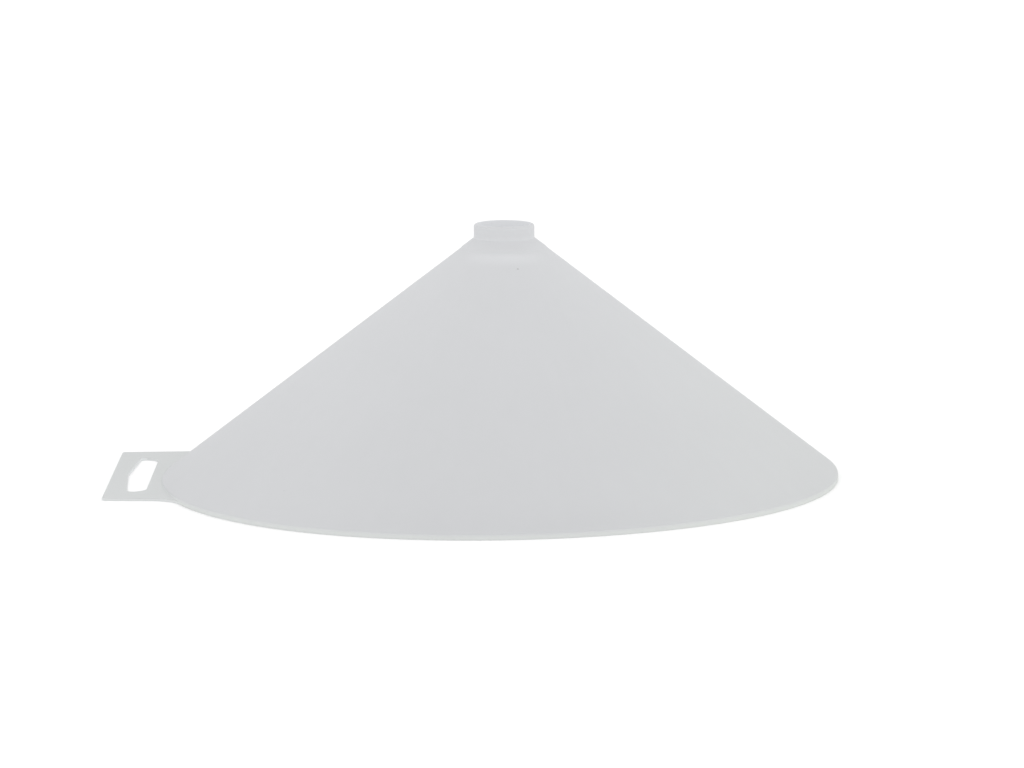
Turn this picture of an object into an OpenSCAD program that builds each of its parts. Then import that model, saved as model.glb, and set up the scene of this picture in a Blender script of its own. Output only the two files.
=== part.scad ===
// Wide conical funnel with a short neck, standing on its rim, and a flat hanging tab.
// Frame: origin at the centre of the rim's foot, +Z up along the neck, tab towards -X.
// Millimetres and degrees.
//
// The wall is built up from rings that lap each other by half their thickness:
// collar over shoulder, shoulder over cone, cone over lip. The tab is let into the lip.

/* [Rim] */
// Outside diameter of the open rim
rim_d = 200; // [150:1:320]
// Height of the upright lip around the rim
lip_h = 1.6; // [1.5:0.1:5]
// Width of the lip's foot, measured along the radius
lip_w = 2.4; // [2.2:0.1:6]

/* [Cone] */
// Thickness of the conical wall, square to its surface
wall_t = 1; // [0.8:0.1:1.4]
// Slope of the conical wall above the horizontal
cone_slope = 37.6; // [28:0.2:50]

/* [Neck] */
// Outside diameter of the neck
neck_od = 18; // [12:0.2:60]
// Thickness of the neck's wall
neck_wall = 1; // [0.8:0.1:2]
// Height of the neck above the shoulder
neck_h = 4.3; // [3.2:0.1:30]
// Width of the shoulder ring between the neck and the cone
shoulder_w = 4; // [3:0.5:12]
// Fillet where the neck rises out of the shoulder
shoulder_fillet = 1; // [0.4:0.1:1.4]
// Rounding of the throat, inside, where the cone turns into the bore
throat_round = 3; // [0.5:0.1:3.2]
// Rounding of the edges of the neck's mouth
mouth_round = 0.3; // [0.1:0.05:0.35]

/* [Handle tab] */
// Width of the tab at its free end
tab_w = 75; // [66:1:110]
// Draft of the tab's sides, which part towards the rim
tab_draft = 3; // [0:0.5:6]
// How far the tab stands out past the rim
tab_reach = 17.4; // [16:0.1:40]
// Thickness of the tab
tab_t = 0.8; // [0.6:0.1:1.2]
// Corner radius at the tab's free end
tab_corner = 1.2; // [0.2:0.1:3]
// Fillet between each side of the tab and the rim
tab_fillet = 10; // [2:0.5:16]
// Depth of the pocket in the lip that takes the tab's root
tab_inset = 0.8; // [0.4:0.1:1.2]

/* [Hanging slot] */
// Distance from the rim to the slot's straight inner side
slot_gap = 5.4; // [3:0.1:7]
// Length of the slot's straight inner side
slot_inner_l = 51; // [30:1:54]
// Length of the slot along its outer side
slot_outer_l = 57; // [30:1:58]
// Width of the slot at its ends
slot_end_w = 5.3; // [4.6:0.1:6]
// Extra width in the middle, where the outer side peaks to centre a hook
slot_peak = 1.9; // [0.2:0.1:2.5]
// Corner radius of the slot
slot_corner = 1.8; // [0.3:0.1:2]

/* [Laps] */
// Length of the half-thickness laps between neighbouring rings
lap_l = 1; // [0.6:0.1:1.1]

/* [Hidden] */

$fn = 180;
edge_round = 0.3; // the lip's outer top and inner foot edges
arc_steps = 10; // straight steps in each rounded corner
half_t = wall_t / 2;

// Radii and heights that the rings share
rim_r = rim_d / 2;
neck_r = neck_od / 2;
bore_r = neck_r - neck_wall;
lap_r = (bore_r + neck_r) / 2; // where the collar laps the shoulder's spigot
lap_run = lap_l * cos(cone_slope); // a lap's share of the radius
shoulder_z = surface_z(neck_r); // the neck's side meets the cone's surface here
collar_foot = shoulder_z + shoulder_fillet;
neck_top = shoulder_z + neck_h;
shoulder_r = neck_r + shoulder_w; // inner end of the lap between shoulder and cone
lip_in_r = rim_r - lip_w;
lip_seam_r = lip_in_r + wall_t * sin(cone_slope); // inner end of the lap between cone and lip

// The tab's outline: its root runs into the lip, between the fillets' ends
tab_end = rim_r + tab_reach;
seat_r = rim_r - tab_inset;
side_along = [cos(tab_draft), sin(tab_draft)]; // along the far side, towards the rim
side_out = [-sin(tab_draft), cos(tab_draft)]; // square to it, out of the tab
side_start = [-tab_end, tab_w / 2];
fillet_off = side_start * side_out + tab_fillet; // the axis to the line the centre lies on
fillet_centre = fillet_off * side_out
    - sqrt(pow(rim_r + tab_fillet, 2) - pow(fillet_off, 2)) * side_along;
fillet_foot = fillet_centre - tab_fillet * side_out; // where the side turns into the fillet

// The slot's sides, as distances from the funnel's axis
slot_in = rim_r + slot_gap;
slot_out = slot_in + slot_end_w;
slot_tip = slot_out + slot_peak;

// Height of the cone's outside surface at radius r
function surface_z(r) = lip_h + (rim_r - r) * tan(cone_slope);

// A point in the wall's section, at a depth below the outside surface and square to it
function in_wall(r, depth) =
    [r - depth * sin(cone_slope), surface_z(r) - depth * cos(cone_slope)];

function unit(v) = v / norm(v);
function heading(v) = atan2(v.y, v.x);
function shortest(turn) = turn > 180 ? turn - 360 : turn < -180 ? turn + 360 : turn;

// Points along an arc
function arc(centre, radius, from, turn) = [
    for (i = [0:arc_steps])
        let (a = from + turn * i / arc_steps)
            centre + radius * [cos(a), sin(a)]
];

// Points that round the corner at p, between its neighbours a and b
function round_corner(a, p, b, radius) =
    let (
        u = unit(a - p),
        v = unit(b - p),
        half = acos(u * v) / 2,
        centre = p + unit(u + v) * radius / sin(half),
        from = heading(p + u * radius / tan(half) - centre),
        to = heading(p + v * radius / tan(half) - centre)
    )
    arc(centre, radius, from, shortest(to - from));

// An outline from corners given as [point, radius]; radius 0 leaves a corner sharp
function rounded(corners) = [
    for (i = [0:len(corners) - 1])
        let (
            n = len(corners),
            before = corners[(i + n - 1) % n][0],
            here = corners[i],
            after = corners[(i + 1) % n][0]
        )
            each here[1] > 0 ? round_corner(before, here[0], after, here[1]) : [here[0]]
];

// A ring turned about the funnel's axis from a section of [point, radius] corners
module ring(corners) {
    rotate_extrude() polygon(rounded(corners));
}

module natural_plastic() {
    color([0.83, 0.84, 0.84]) children();
}

// Short tube that enters a bottle's mouth; its foot laps the shoulder's spigot
module neck_collar() {
    natural_plastic() ring([
        [[bore_r, collar_foot + lap_l], 0],
        [[bore_r, neck_top], mouth_round],
        [[neck_r, neck_top], mouth_round],
        [[neck_r, collar_foot], 0],
        [[lap_r, collar_foot], 0],
        [[lap_r, collar_foot + lap_l], 0]
    ]);
}

// Filleted ring that turns the cone into the neck
module neck_shoulder() {
    natural_plastic() ring([
        [[neck_r, collar_foot], 0],
        [[neck_r, shoulder_z], shoulder_fillet],
        [in_wall(shoulder_r + lap_run, 0), 0],
        [in_wall(shoulder_r + lap_run, half_t), 0],
        [in_wall(shoulder_r, half_t), 0],
        [in_wall(shoulder_r, wall_t), 0],
        [[bore_r, surface_z(bore_r) - wall_t / cos(cone_slope)], throat_round],
        [[bore_r, collar_foot + lap_l], 0],
        [[lap_r, collar_foot + lap_l], 0],
        [[lap_r, collar_foot], 0]
    ]);
}

// The conical wall, with a half-thickness tongue at each end
module cone_wall() {
    natural_plastic() ring([
        [in_wall(shoulder_r + lap_run, 0), 0],
        [in_wall(lip_seam_r + lap_run, 0), 0],
        [in_wall(lip_seam_r + lap_run, half_t), 0],
        [in_wall(lip_seam_r, half_t), 0],
        [in_wall(lip_seam_r, wall_t), 0],
        [in_wall(shoulder_r, wall_t), 0],
        [in_wall(shoulder_r, half_t), 0],
        [in_wall(shoulder_r + lap_run, half_t), 0]
    ]);
}

// Thickened lip that stiffens the rim and stands on its flat foot
module rim_lip() {
    natural_plastic() difference() {
        ring([
            [[lip_in_r, 0], edge_round],
            [[rim_r, 0], 0],
            [[rim_r, lip_h], edge_round],
            [in_wall(lip_seam_r + lap_run, 0), 0],
            [in_wall(lip_seam_r + lap_run, half_t), 0],
            [in_wall(lip_seam_r, half_t), 0],
            [in_wall(lip_seam_r, wall_t), 0]
        ]);
        linear_extrude(tab_t) tab_plan();
    }
}

// Half of the tab's edge: its free corner, its side and the fillet that runs onto the rim
function tab_half() =
    let (from = heading(-side_out), to = heading(-fillet_centre))
    concat(
        round_corner([-tab_end, 0], side_start, fillet_foot, tab_corner),
        arc(fillet_centre, tab_fillet, from, shortest(to - from))
    );

// The tab seen from above, with its root inside the lip's pocket
module tab_plan() {
    root = seat_r / 2 * unit(fillet_centre);
    far_side = concat(tab_half(), [root]);
    near_side = [for (i = [len(far_side) - 1:-1:0]) [far_side[i].x, -far_side[i].y]];
    difference() {
        polygon(concat(far_side, near_side));
        circle(seat_r);
    }
}

// Slot with a straight inner side and a peaked outer side
module slot_plan() {
    polygon(rounded([
        [[-slot_in, -slot_inner_l / 2], slot_corner],
        [[-slot_in, slot_inner_l / 2], slot_corner],
        [[-slot_out, slot_outer_l / 2], slot_corner],
        [[-slot_tip, 0], slot_corner],
        [[-slot_out, -slot_outer_l / 2], slot_corner]
    ]));
}

// Flat plate to hold the funnel by, with a slot to hang it from
module handle_tab() {
    natural_plastic() linear_extrude(tab_t) difference() {
        tab_plan();
        slot_plan();
    }
}

neck_collar();
neck_shoulder();
cone_wall();
rim_lip();
handle_tab();
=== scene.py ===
from math import atan2, cos, pi, radians, sin, tan

import bmesh
import bpy
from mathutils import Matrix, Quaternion, Vector
from mathutils.geometry import tessellate_polygon


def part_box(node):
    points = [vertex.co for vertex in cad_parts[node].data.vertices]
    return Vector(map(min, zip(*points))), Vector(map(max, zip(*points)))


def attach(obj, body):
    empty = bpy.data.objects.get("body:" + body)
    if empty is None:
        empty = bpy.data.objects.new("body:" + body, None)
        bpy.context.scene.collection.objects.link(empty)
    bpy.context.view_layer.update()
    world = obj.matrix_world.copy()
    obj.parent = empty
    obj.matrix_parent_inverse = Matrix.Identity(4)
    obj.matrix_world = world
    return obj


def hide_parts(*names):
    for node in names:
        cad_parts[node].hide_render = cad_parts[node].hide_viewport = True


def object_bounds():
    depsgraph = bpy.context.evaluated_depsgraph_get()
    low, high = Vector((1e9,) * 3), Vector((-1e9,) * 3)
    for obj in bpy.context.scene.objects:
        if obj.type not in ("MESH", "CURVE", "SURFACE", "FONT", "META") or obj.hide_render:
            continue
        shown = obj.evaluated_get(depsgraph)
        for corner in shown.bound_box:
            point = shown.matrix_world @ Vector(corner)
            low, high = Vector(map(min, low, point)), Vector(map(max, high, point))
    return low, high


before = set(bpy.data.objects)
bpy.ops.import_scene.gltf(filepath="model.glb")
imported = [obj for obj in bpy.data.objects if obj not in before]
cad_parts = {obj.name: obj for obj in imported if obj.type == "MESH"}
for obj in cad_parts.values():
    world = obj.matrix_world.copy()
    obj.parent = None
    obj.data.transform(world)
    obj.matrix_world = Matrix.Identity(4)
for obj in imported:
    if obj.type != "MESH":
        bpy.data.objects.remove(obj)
cad_low, cad_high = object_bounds()
MM = 0.001

# ---------------------------------------------------------------------------
# Camera. It stands 1.36 m in front of the funnel, 10.6 degrees above the
# worktop, and aims at the axis, a third of the way up the cone.
# ---------------------------------------------------------------------------
camera_distance = 1.3616
camera_elevation = radians(10.62)
camera_roll = radians(-0.2)
camera_aim = Vector((0.0022, 0.0051, 0.0269))

camera_data = bpy.data.cameras.new("camera")
camera_data.lens = 160
camera_data.sensor_width = 36
camera = bpy.data.objects.new("camera", camera_data)
camera.location = (
    0,
    -camera_distance * cos(camera_elevation),
    camera_distance * sin(camera_elevation),
)
level = (camera_aim - camera.location).to_track_quat("-Z", "Y")
camera.rotation_euler = (level @ Quaternion((0, 0, 1), camera_roll)).to_euler()
bpy.context.collection.objects.link(camera)
bpy.context.scene.camera = camera
bpy.context.scene.view_settings.view_transform = "Standard"


# ---------------------------------------------------------------------------
# Neck collar. The short tube that enters a bottle: moulded in one with the
# shoulder below it, of undyed polypropylene, with a well rounded mouth.
# ---------------------------------------------------------------------------
class Wire:
    """A socket in a node tree; sums of wires and numbers add their Math nodes."""

    def __init__(self, tree, socket=None):
        self.tree = tree
        self.socket = socket

    def node(self, kind, settings, inputs, out=0):
        """Adds a node with these settings and these values or links at its inputs."""
        made = self.tree.nodes.new(kind)
        for name, value in settings.items():
            setattr(made, name, value)
        for key, value in inputs.items():
            if isinstance(value, Wire):
                self.tree.links.new(value.socket, made.inputs[key])
            else:
                made.inputs[key].default_value = value
        return Wire(self.tree, made.outputs[out])

    def math(self, operation, *values):
        return self.node("ShaderNodeMath", {"operation": operation}, dict(enumerate(values)))

    def __add__(self, other):
        return self.math("ADD", self, other)

    def __sub__(self, other):
        return self.math("SUBTRACT", self, other)

    def __rsub__(self, other):
        return self.math("SUBTRACT", other, self)

    def __mul__(self, other):
        return self.math("MULTIPLY", self, other)

    def __truediv__(self, other):
        return self.math("DIVIDE", self, other)

    __radd__ = __add__
    __rmul__ = __mul__


def rounded(corners, radii, steps=6):
    """A closed outline through corners, each rounded by its own radius."""
    points = []
    for i, (corner, radius) in enumerate(zip(corners, radii)):
        here = Vector(corner)
        before = (Vector(corners[i - 1]) - here).normalized()
        after = (Vector(corners[(i + 1) % len(corners)]) - here).normalized()
        if radius == 0:
            points.append(here)
            continue
        half = before.angle(after) / 2
        centre = here + (before + after).normalized() * radius / sin(half)
        start = here + before * radius / tan(half) - centre
        end = here + after * radius / tan(half) - centre
        turn = start.angle_signed(end)
        for step in range(steps + 1):
            angle = turn * step / steps
            points.append(
                centre + Vector((
                    start.x * cos(angle) + start.y * sin(angle),
                    start.y * cos(angle) - start.x * sin(angle),
                ))
            )
    return points


def subdivided(points, spacing):
    """The same closed outline with no two points further apart than spacing."""
    dense = []
    for i, here in enumerate(points):
        there = points[(i + 1) % len(points)]
        pieces = max(1, round((there - here).length / spacing))
        dense += [here.lerp(there, step / pieces) for step in range(pieces)]
    return dense


# The thin cone has cooled a little out of round. Its rim leans towards the tab,
# and is oval and faintly three-lobed; the stiff neck stays round.
held_radius = 13 * MM
rim_radius = 100 * MM
rim_set = {
    "Shrink": 0.4 * MM,
    "Lean": 1.7 * MM,
    "Oval": 2 * MM,
    "Oval axis": radians(31),
    "Lobes": 1.3 * MM,
    "Lobe axis": radians(-21),
    "Held radius": held_radius,
    "Rim radius": rim_radius,
}

# An edge that bends by more than this is shaded sharp
crease_angle = radians(35)


def turning_tree():
    """Geometry nodes that turn a closed section in the XZ plane about the Z axis."""
    tree = bpy.data.node_groups.new("turned_about_axis", "GeometryNodeTree")
    tree.is_modifier = True
    kinds = {
        "Section": "NodeSocketGeometry",
        "Segments": "NodeSocketInt",
        "Material": "NodeSocketMaterial",
    }
    for name in [*kinds, *rim_set]:
        kind = kinds.get(name, "NodeSocketFloat")
        tree.interface.new_socket(name, in_out="INPUT", socket_type=kind)
    tree.interface.new_socket("Geometry", in_out="OUTPUT", socket_type="NodeSocketGeometry")
    group = tree.nodes.new("NodeGroupInput")
    given = {name: Wire(tree, group.outputs[name]) for name in [*kinds, *rim_set]}
    section, segments = given["Section"], given["Segments"]

    # A sheet with a row for each point of the section, rolled up both ways
    points = section.node("GeometryNodeAttributeDomainSize", {}, {0: section})
    sheet = section.node(
        "GeometryNodeMeshGrid", {}, {"Vertices X": points + 1, "Vertices Y": segments + 1}
    )
    index = section.node("GeometryNodeInputIndex", {}, {})
    row = section.math("FLOOR", index / (segments + 1))
    angle = section.math("MODULO", index, segments + 1) / segments * (2 * pi)
    position = section.node("GeometryNodeInputPosition", {}, {})
    place = section.node(
        "GeometryNodeSampleIndex",
        {"data_type": "FLOAT_VECTOR"},
        {"Geometry": section, "Value": position, "Index": section.math("MODULO", row, points)},
    )
    radius = place.node("ShaderNodeSeparateXYZ", {}, {0: place}, 0)
    height = place.node("ShaderNodeSeparateXYZ", {}, {0: place}, 2)

    # How far the rim has moved out at this angle, and this point's share of it
    moved_out = (
        given["Oval"] * section.math("COSINE", (angle - given["Oval axis"]) * 2)
        + given["Lobes"] * section.math("COSINE", (angle - given["Lobe axis"]) * 3)
        - given["Lean"] * section.math("COSINE", angle)
        - given["Shrink"]
    )
    held, rim = given["Held radius"], given["Rim radius"]
    share = section.math("MAXIMUM", (radius - held) / (rim - held), 0)
    radius = radius + share * moved_out

    turned = place.node(
        "ShaderNodeCombineXYZ",
        {},
        {
            0: radius * section.math("COSINE", angle),
            1: radius * section.math("SINE", angle),
            2: height,
        },
    )
    rolled = sheet.node("GeometryNodeSetPosition", {}, {"Geometry": sheet, "Position": turned})
    closed = rolled.node("GeometryNodeMergeByDistance", {}, {"Geometry": rolled, "Distance": 1e-6})
    smooth = closed.node("GeometryNodeSetShadeSmooth", {}, {"Geometry": closed})
    bend = closed.node("GeometryNodeInputMeshEdgeAngle", {}, {})
    creased = smooth.node(
        "GeometryNodeSetShadeSmooth",
        {"domain": "EDGE"},
        {
            "Geometry": smooth,
            "Selection": bend.math("GREATER_THAN", bend, crease_angle),
            "Shade Smooth": False,
        },
    )
    real = creased.node("GeometryNodeRealizeInstances", {}, {"Geometry": creased})
    finished = real.node(
        "GeometryNodeSetMaterial", {}, {"Geometry": real, "Material": given["Material"]}
    )
    output = tree.nodes.new("NodeGroupOutput")
    tree.links.new(finished.socket, output.inputs[0])
    return tree


TURNING = turning_tree()


def turned_piece(name, corners, radii, spacing=0.4 * MM, segments=288):
    """A ring turned from a section of rounded (radius, height) corners, as a plain mesh."""
    section = subdivided(rounded(corners, radii), spacing)
    outline = bpy.data.meshes.new(name)
    count = len(section)
    outline.from_pydata(
        [(point.x, 0, point.y) for point in section],
        [(i, (i + 1) % count) for i in range(count)],
        [],
    )
    piece = bpy.data.objects.new(name, outline)
    bpy.context.collection.objects.link(piece)
    modifier = piece.modifiers.new("turned", "NODES")
    modifier.node_group = TURNING
    values = {"Segments": segments, "Material": frosted, **rim_set}
    for socket in TURNING.interface.items_tree:
        if socket.name in values:
            modifier[socket.identifier] = values[socket.name]
    solid = bpy.data.meshes.new_from_object(
        piece.evaluated_get(bpy.context.evaluated_depsgraph_get())
    )
    piece.modifiers.clear()
    piece.data = solid
    bpy.data.meshes.remove(outline)
    solid.materials.clear()
    solid.materials.append(frosted)
    return piece


def rising(value, low, high):
    """0 where value is below low, 1 where it is above high, and smooth between."""
    return value.node(
        "ShaderNodeMapRange",
        {"interpolation_type": "SMOOTHSTEP"},
        {"Value": value, "From Min": low, "From Max": high},
    )


def band(value, low, middle, high):
    """1 where value is at middle, falling smoothly to 0 at low and at high."""
    return rising(value, low, middle) * rising(value, high, middle)


def clouds(place, size, detail=2):
    """Noise from -1 to 1, with clouds about size across, in the place's own units."""
    noise = place.node(
        "ShaderNodeTexNoise", {}, {"Vector": place, "Scale": 1 / size, "Detail": detail}
    )
    return noise * 2 - 1


# The plastic looks a little greener where it is thick, at the lip, and towards +X
green_cast = (0.612, 0.633, 0.612)

# Burnt flecks that are large enough to see: where they are and how large, in millimetres
burnt_flecks = (((4, -17.3, 64.8), 0.3), ((-62.7, -69.6, 8.9), 0.14))


def polypropylene(name, colour, lip_painted_light_and_tint, inside_painted_glow, upright_painted_glow):
    """Frosted undyed polypropylene, with painted light and shade in its tone, and painted light
    glowing from its inside and upright faces.
    """
    material = bpy.data.materials.new(name)
    material.use_nodes = True
    tree = material.node_tree
    start = Wire(tree)
    place = start.node("ShaderNodeTexCoord", {}, {}, "Object")
    spot = start.node("ShaderNodeVectorMath", {"operation": "SCALE"}, {0: place, "Scale": 1 / MM})
    x, y, z = (start.node("ShaderNodeSeparateXYZ", {}, {0: spot}, axis) for axis in "XYZ")

    # Where the surface lies round the axis: towards the front, and along the flow
    across = start.node("ShaderNodeCombineXYZ", {}, {"X": x, "Y": y})
    ray = start.node("ShaderNodeVectorMath", {"operation": "NORMALIZE"}, {0: across})
    forward = 0 - start.node("ShaderNodeSeparateXYZ", {}, {0: ray}, "Y")
    front = rising(forward, 0.45, 1.15)
    fanned = start.node("ShaderNodeVectorMath", {"operation": "SCALE"}, {0: ray, "Scale": 18})
    down = start.node("ShaderNodeCombineXYZ", {}, {"Z": z * 0.06})
    flow = start.node("ShaderNodeVectorMath", {"operation": "ADD"}, {0: fanned, 1: down})

    # The tone: streaks from the flow, and clouds of two sizes
    tone = 1 + clouds(flow, 1) * 0.006 + clouds(spot, 30) * 0.014 + clouds(spot, 4) * 0.006

    # Round the neck: a painted highlight ring and a darker band at the shoulder's edge, both
    # strongest in front; painted light in the crease at the collar's foot; painted shade on the
    # mouth's up-facing top
    painted_highlight_ring = band(z, 65, 67.6, 69.2) * front * 0.07
    dark_edge = band(z, 68.6, 70, 71.4) * front * 0.01
    painted_light_at_foot = band(z, 71, 72.2, 73.4) * 0.02
    painted_shade_on_mouth = rising(z, 75, 75.6) * 0.01
    tone = tone + painted_highlight_ring - dark_edge + painted_light_at_foot - painted_shade_on_mouth

    # Painted light and shade on the wall: it is painted paler high up and at the low sides,
    # and painted darker behind and towards both ends of X; it is also darker over the lip at the
    # front
    painted_light_high_up = (z - 60) * 0.0005 + (z - 85) * front * 0.0004
    painted_light_low_sides = rising(z, 25, 3) * rising(forward, 1, 0.8) * 0.012
    over_lip = band(z, 1.5, 2.6, 9) * front * 0.01
    painted_shade_behind = rising(forward, 0.2, -0.2) * 0.012
    painted_shade_x_ends = rising(x, 60, 95) * 0.022 + rising(x, -50, -100) * 0.02
    tone = tone + painted_light_high_up + painted_light_low_sides - over_lip - painted_shade_behind - painted_shade_x_ends

    # Painted light on the thick lip, most at its foot and least beside the tab; the same strength
    # also tints the lip greener
    at_lip = rising(z, 1.9, 0.7)
    above_foot = rising(z, 0, 1.2) * 0.3
    from_tab = rising(x, -90, 0) * 0.3 + 0.7
    tone = tone + (at_lip - above_foot) * from_tab * lip_painted_light_and_tint

    greener = start.node(
        "ShaderNodeMix",
        {"data_type": "RGBA"},
        {
            "Factor": at_lip * lip_painted_light_and_tint * 8 + rising(x, 0, 100) * 0.28,
            "A": (*colour, 1),
            "B": (*green_cast, 1),
        },
        "Result",
    )
    pale = start.node("ShaderNodeVectorMath", {"operation": "SCALE"}, {0: greener, "Scale": tone})

    # The burnt flecks, and sparse fine dust in the plastic
    flecks = 0
    for centre, radius in burnt_flecks:
        distance = start.node(
            "ShaderNodeVectorMath", {"operation": "DISTANCE"}, {0: spot, 1: centre}, "Value"
        )
        flecks = flecks + rising(distance, radius * 1.3, radius * 0.7)
    cells = {"Vector": spot, "Scale": 1 / 11}
    near = start.node("ShaderNodeTexVoronoi", {}, cells, "Distance")
    kind = start.node("ShaderNodeTexVoronoi", {}, cells, "Color")
    chance = start.node("ShaderNodeSeparateColor", {}, {0: kind}, "Red")
    dust = rising(near, 0.02, 0.008) * rising(chance, 0.6, 0.9)
    burnt_brown = (0.06, 0.055, 0.05, 1)
    stained = start.node(
        "ShaderNodeMix",
        {"data_type": "RGBA"},
        {"Factor": flecks * 0.25 + dust * 0.15, "A": pale, "B": burnt_brown},
        "Result",
    )

    # The mould's etched face leaves a fine even frosting
    frosting = clouds(spot, 0.3, detail=3)
    frosting_depth = 0.004 * MM
    relief = start.node(
        "ShaderNodeBump", {}, {"Height": frosting, "Distance": frosting_depth, "Strength": 1.0}
    )

    # Painted light: an emission stands for light that comes through the wall and leaves it
    # on the inside, most of it under the throat, and for a little that leaves by the upright faces
    facing = start.node("ShaderNodeTexCoord", {}, {}, "Normal")
    outwards = start.node(
        "ShaderNodeVectorMath", {"operation": "DOT_PRODUCT"}, {0: facing, 1: ray}, "Value"
    )
    upwards = start.node("ShaderNodeSeparateXYZ", {}, {0: facing}, "Z")
    under_throat = rising(z, 66, 60) * 0.65
    inside = rising(outwards, 0, -0.5) * (1 + under_throat)
    glow = inside * inside_painted_glow + rising(upwards, 0.6, 0.2) * upright_painted_glow
    painted_glow_colour = start.node("ShaderNodeVectorMath", {"operation": "SCALE"}, {0: pale, "Scale": glow})

    surface = tree.nodes["Principled BSDF"]
    surface.inputs["IOR"].default_value = 1.49
    surface.inputs["Specular IOR Level"].default_value = 0.02
    surface.inputs["Emission Strength"].default_value = 1
    roughness = 0.58 + frosting * 0.06 + clouds(spot, 14) * 0.05
    for name, wire in {
        "Base Color": stained,
        "Roughness": roughness,
        "Emission Color": painted_glow_colour,
        "Normal": relief,
    }.items():
        tree.links.new(wire.socket, surface.inputs[name])
    # The glow is faint and wide, so it needs no rays aimed at it
    material.cycles.emission_sampling = "NONE"
    return material


frosted = polypropylene(
    "frosted_polypropylene",
    colour=(0.6175, 0.6245, 0.6375),
    lip_painted_light_and_tint=0.077,
    inside_painted_glow=0.25,
    upright_painted_glow=0.06,
)

cone_slope = radians(37.6)
wall = 1 * MM
lip_height = 1.6 * MM


def surface_height(radius):
    return lip_height + (rim_radius - radius) * tan(cone_slope)


def in_wall(radius, depth):
    """A point in the conical wall's section, at a depth under its outside surface."""
    return (radius - depth * sin(cone_slope), surface_height(radius) - depth * cos(cone_slope))


def across_wall(radius):
    """The line square through the conical wall, from the outside surface to the inside."""
    return in_wall(radius, 0), in_wall(radius, wall)


collar_low, collar_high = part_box("neck_collar")
neck_radius = collar_high.x
bore_radius = neck_radius - wall
mouth_outer_round = 0.85 * MM
mouth_inner_round = 0.1 * MM


def across_neck(height):
    """The line level through the collar's wall, from the bore to the outside."""
    return (bore_radius, height), (neck_radius, height)


collar = turned_piece(
    "neck_collar_moulded",
    [*across_neck(collar_high.z), *across_neck(collar_low.z)[::-1]],
    [mouth_inner_round, mouth_outer_round, 0, 0],
)
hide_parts("neck_collar")
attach(collar, "root")

# ---------------------------------------------------------------------------
# Neck shoulder. The ring that turns the cone into the neck: moulded with it, a
# little proud of the cone, with a rounded throat inside.
# ---------------------------------------------------------------------------
shoulder_proud = 0.15 * MM
shoulder_step = 0.6 * MM
neck_fillet = 0.8 * MM
step_round = 0.5 * MM
throat_round = 3 * MM

shoulder = turned_piece(
    "neck_shoulder_moulded",
    [
        *across_neck(collar_low.z),
        (neck_radius, surface_height(neck_radius) + shoulder_proud),
        in_wall(held_radius - shoulder_step, -shoulder_proud),
        *across_wall(held_radius),
        (bore_radius, surface_height(bore_radius) - wall / cos(cone_slope)),
    ],
    [0, 0, neck_fillet, step_round, 0, 0, throat_round],
)
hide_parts("neck_shoulder")
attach(shoulder, "root")

# ---------------------------------------------------------------------------
# Cone wall. The wide thin wall that guides what is poured: moulded with an even
# thickness of a millimetre, frosted outside and in.
# ---------------------------------------------------------------------------
lip_radius = 98.2 * MM

cone = turned_piece(
    "cone_wall_moulded",
    [*across_wall(lip_radius), *across_wall(held_radius)[::-1]],
    [0, 0, 0, 0],
    spacing=2 * MM,
)
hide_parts("cone_wall")
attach(cone, "root")

# ---------------------------------------------------------------------------
# Rim lip. The thickened edge that stiffens the mouth: moulded with the cone,
# with an upright outer face and a flat foot that the funnel stands on.
# ---------------------------------------------------------------------------
lip_foot = 2.4 * MM
lip_top_round = 0.8 * MM
lip_foot_round = 0.1 * MM
lip_inner_round = 0.3 * MM

lip = turned_piece(
    "rim_lip_moulded",
    [
        *across_wall(lip_radius)[::-1],
        (rim_radius, lip_height),
        (rim_radius, 0),
        (rim_radius - lip_foot, 0),
    ],
    [0, 0, lip_top_round, lip_foot_round, lip_inner_round],
)
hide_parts("rim_lip")
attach(lip, "root")

# ---------------------------------------------------------------------------
# Handle tab. A flat plate moulded on to the lip, to hold the funnel by, with a
# slot to hang it from: the slot's outer side peaks to centre a hook.
# ---------------------------------------------------------------------------
tab_thickness = 0.8 * MM
tab_half_width = 37.5 * MM
tab_draft = radians(3)
tab_corner = 1.2 * MM
tab_fillet = 10 * MM
fillet_steps = 12
tab_end = -cad_low.x
tab_spacing = 2 * MM
root_depth = 0.15 * MM
root_steps = 60

# The rounded edge takes this margin of the plate, in full this far off the lip
edge_margin = 0.55 * MM
full_margin_from = 0.715 * MM
top_round = 0.25 * MM
foot_round = 0.1 * MM
edge_steps = 4

slot_inner = rim_radius + 5.4 * MM
slot_outer = slot_inner + 5.3 * MM
slot_peak = slot_outer + 1.9 * MM
slot_inner_half = 25.5 * MM
slot_outer_half = 28.5 * MM
slot_outer_corner = 1.8 * MM
slot_inner_corner = 4.68 * MM


def rim_at(azimuth):
    """Radius of the lip's outer face at this azimuth."""
    return (
        rim_radius
        - rim_set["Shrink"]
        - rim_set["Lean"] * cos(azimuth)
        + rim_set["Oval"] * cos(2 * (azimuth - rim_set["Oval axis"]))
        + rim_set["Lobes"] * cos(3 * (azimuth - rim_set["Lobe axis"]))
    )


def azimuth_of(point):
    return atan2(point.y, point.x)


def arc(centre, radius, start, turn, steps):
    angles = (start + turn * i / steps for i in range(steps + 1))
    return [centre + radius * Vector((cos(angle), sin(angle))) for angle in angles]


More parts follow.
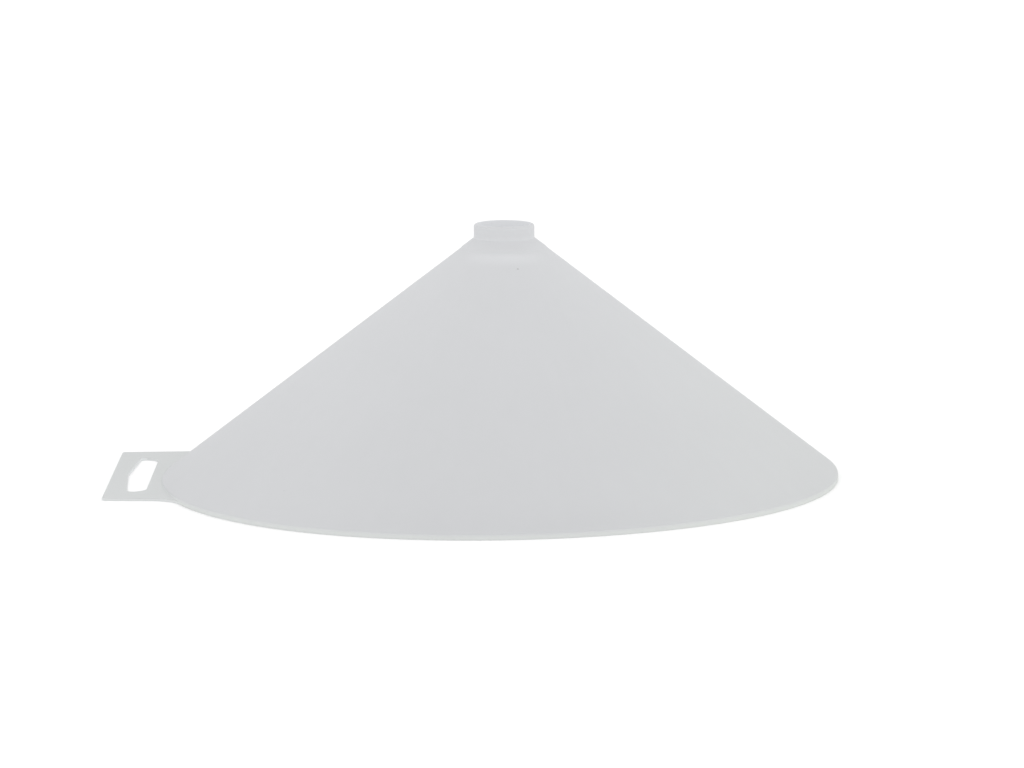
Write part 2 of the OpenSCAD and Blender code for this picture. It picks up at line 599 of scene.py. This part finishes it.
def side_of_tab(side):
    """A side of the tab from its free corner to its root; side is 1 at +Y and -1 at -Y."""
    along = Vector((cos(tab_draft), side * sin(tab_draft)))
    out = Vector((-sin(tab_draft), side * cos(tab_draft)))
    corner = Vector((-tab_end, side * tab_half_width))
    # The fillet's centre slides along the side until the fillet meets the lip
    near, far = 0.0, tab_end
    for _ in range(40):
        middle = (near + far) / 2
        centre = corner + along * middle + out * tab_fillet
        if centre.length > rim_at(azimuth_of(centre)) + tab_fillet:
            near = middle
        else:
            far = middle
    start = azimuth_of(-out)
    turn = (azimuth_of(-centre) - start + pi) % (2 * pi) - pi
    free_corner = rounded([(-tab_end, 0), corner, corner + along], [0, tab_corner, 0])[1:-1]
    return free_corner + arc(centre, tab_fillet, start, turn, fillet_steps)


def inset(points, distance):
    """An outline moved inwards, by less where it runs out on to the lip."""
    moved = []
    for i, here in enumerate(points):
        along = (points[(i + 1) % len(points)] - points[i - 1]).normalized()
        room = here.length - rim_at(azimuth_of(here))
        share = min(1, max(0, room / full_margin_from))
        moved.append(here + distance * share * Vector((along.y, -along.x)))
    return moved


far_side, near_side = side_of_tab(1), side_of_tab(-1)
root_start = azimuth_of(far_side[-1]) % (2 * pi)
root_end = azimuth_of(near_side[-1]) % (2 * pi)
root_azimuths = [
    root_start + (root_end - root_start) * i / root_steps for i in range(1, root_steps)
]


def out_from_axis(azimuth, distance):
    return distance * Vector((cos(azimuth), sin(azimuth)))


root = [out_from_axis(azimuth, rim_at(azimuth) - root_depth) for azimuth in root_azimuths]
tab_outline = subdivided(far_side + root + near_side[::-1], tab_spacing)

slot_outline = rounded(
    [
        (-slot_inner, -slot_inner_half),
        (-slot_inner, slot_inner_half),
        (-slot_outer, slot_outer_half),
        (-slot_peak, 0),
        (-slot_outer, -slot_outer_half),
    ],
    [slot_inner_corner] * 2 + [slot_outer_corner] * 3,
)

edge = rounded(
    [(edge_margin, 0), (0, 0), (0, tab_thickness), (edge_margin, tab_thickness)],
    [0, foot_round, top_round, 0],
    edge_steps,
)
tab_mesh = bmesh.new()
caps = ([], [])
for outline in (tab_outline, slot_outline):
    rows = []
    for distance, height in edge:
        places = inset(outline, distance)
        rows.append([tab_mesh.verts.new((*place, height)) for place in places])
    count = len(outline)
    for lower, upper in zip(rows, rows[1:]):
        for i in range(count):
            j = (i + 1) % count
            tab_mesh.faces.new((lower[i], lower[j], upper[j], upper[i]))
    for cap, row in zip(caps, (rows[0], rows[-1])):
        cap.append(row)
for cap in caps:
    corners = [vertex for row in cap for vertex in row]
    for triangle in tessellate_polygon([[vertex.co for vertex in row] for row in cap]):
        tab_mesh.faces.new([corners[i] for i in triangle])
bmesh.ops.remove_doubles(tab_mesh, verts=tab_mesh.verts, dist=1e-6)

# A fillet blends the tab into the lip's face, and dies out where the tab's sides meet it
fillet_out = 0.9 * MM
fillet_up = 0.65 * MM
fillet_ends = 5 * MM
curve_steps = 8
turns = [pi / 2 * i / curve_steps for i in range(curve_steps + 1)]
curve = [(1 - cos(turn), 1 - sin(turn)) for turn in turns]
rows = []
for i, azimuth in enumerate(root_azimuths):
    to_end = rim_radius * abs(root_end - root_start) * min(i + 1, root_steps - 1 - i) / root_steps
    reach = fillet_out * min(1, (to_end / fillet_ends) ** 2)
    rise = fillet_up * min(1, 2 * to_end / fillet_ends)
    section = [(reach * out, rise * up) for out, up in curve]
    section += [(reach, -root_depth), (-root_depth, -root_depth), (-root_depth, rise)]
    rows.append([
        tab_mesh.verts.new((*out_from_axis(azimuth, rim_at(azimuth) + out), tab_thickness + up))
        for out, up in section
    ])
for this, following in zip(rows, rows[1:]):
    for i in range(len(this)):
        tab_mesh.faces.new((this[i - 1], this[i], following[i], following[i - 1]))
tab_mesh.faces.new(rows[0])
tab_mesh.faces.new(rows[-1])

bmesh.ops.recalc_face_normals(tab_mesh, faces=tab_mesh.faces)
for face in tab_mesh.faces:
    face.smooth = True
for seam in tab_mesh.edges:
    seam.smooth = seam.calc_face_angle(0) < crease_angle

tab_data = bpy.data.meshes.new("handle_tab_moulded")
tab_mesh.to_mesh(tab_data)
tab_mesh.free()
tab = bpy.data.objects.new("handle_tab_moulded", tab_data)
# The tab's copy of the plastic has its own tint, stronger painted light glowing from its upright
# faces to lift the shade on the slot's walls, and no painted light at the lip
tab_data.materials.append(
    polypropylene(
        "frosted_polypropylene_tab",
        colour=(0.614, 0.628, 0.628),
        lip_painted_light_and_tint=0,
        inside_painted_glow=0.1,
        upright_painted_glow=0.16,
    )
)
bpy.context.collection.objects.link(tab)
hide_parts("handle_tab")
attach(tab, "root")

# ---------------------------------------------------------------------------
# Worktop and light. A white worktop under a soft white dome, which is a little
# darker towards the front and a little brighter on the right.
# ---------------------------------------------------------------------------
bpy.ops.mesh.primitive_plane_add(size=12)
floor = bpy.context.object
floor.name = "worktop"
white = bpy.data.materials.new("white_worktop")
white.use_nodes = True
laminate = white.node_tree.nodes["Principled BSDF"]
laminate.inputs["Base Color"].default_value = (0.95, 0.95, 0.95, 1)
laminate.inputs["Roughness"].default_value = 0.8
floor.data.materials.append(white)

world = bpy.data.worlds.new("dome")
bpy.context.scene.world = world
world.use_nodes = True
sky = Wire(world.node_tree)
towards = sky.node("ShaderNodeTexCoord", {}, {}, "Generated")
right = sky.node("ShaderNodeSeparateXYZ", {}, {0: towards}, "X")
back = sky.node("ShaderNodeSeparateXYZ", {}, {0: towards}, "Y")
in_front = sky.math("MAXIMUM", 0 - back - right * 0.15, 0)
dome_strength = 1.15
strength = (1 + right * 0.014 - in_front * 0.08) * dome_strength
dome = world.node_tree.nodes["Background"]
dome.inputs["Color"].default_value = (1, 1, 1, 1)
world.node_tree.links.new(strength.socket, dome.inputs["Strength"])
